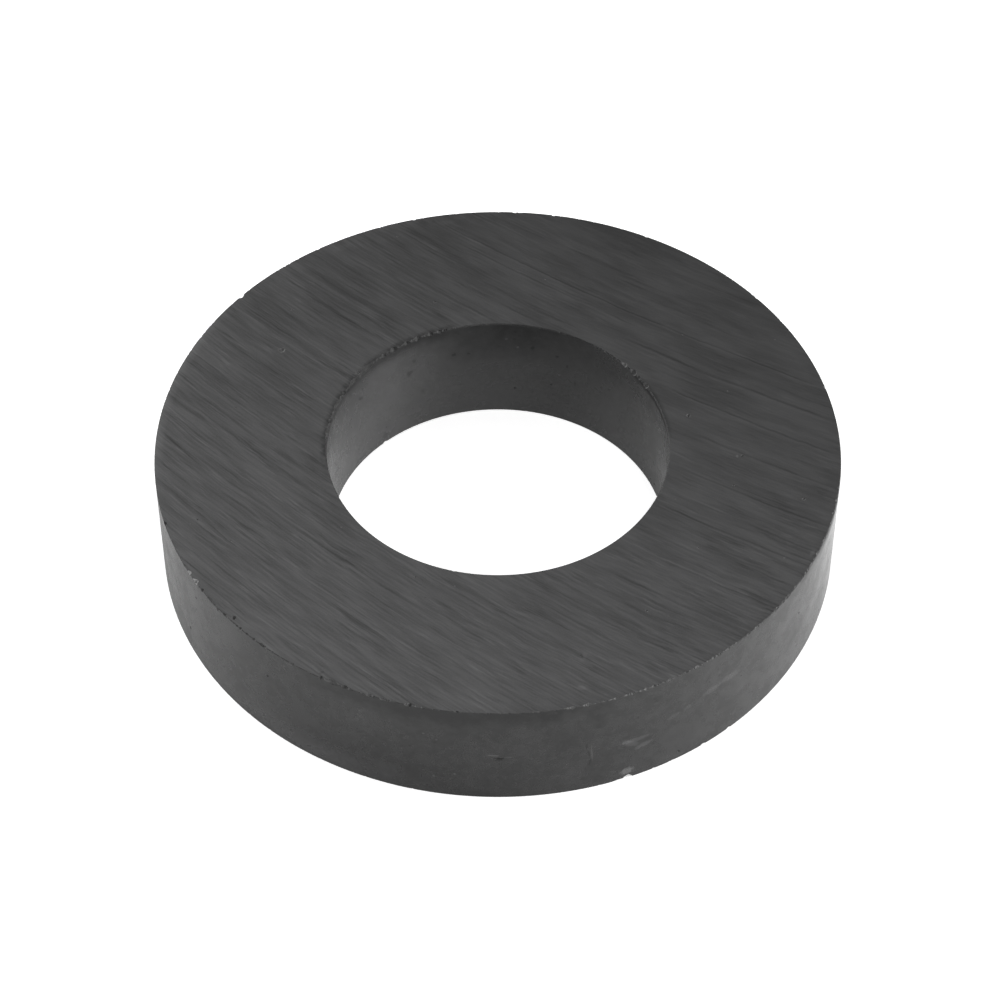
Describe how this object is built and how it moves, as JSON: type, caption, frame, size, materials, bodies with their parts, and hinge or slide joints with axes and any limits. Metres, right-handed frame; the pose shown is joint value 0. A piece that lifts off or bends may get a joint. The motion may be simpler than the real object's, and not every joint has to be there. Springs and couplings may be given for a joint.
{
  "type": "ring magnet",
  "caption": "Thick flat ceramic ring magnet with a wide plain bore, ground faces and slightly chipped edges; holds to steel or sits round a core.",
  "frame": {"origin": "centre of the lower ground face, on the bore's axis", "axes": "+Z along the bore's axis, from the lower to the upper ground face; the ring is round about Z, so X and Y only place its chips and grinding marks, which are seen from -Y in the picture"},
  "size_m": [0.08, 0.08, 0.015],
  "materials": {
    "ferrite": "matte"
  },
  "bodies": {
    "root": {"ferrite_ring": "ferrite"}
  },
  "joints": []
}
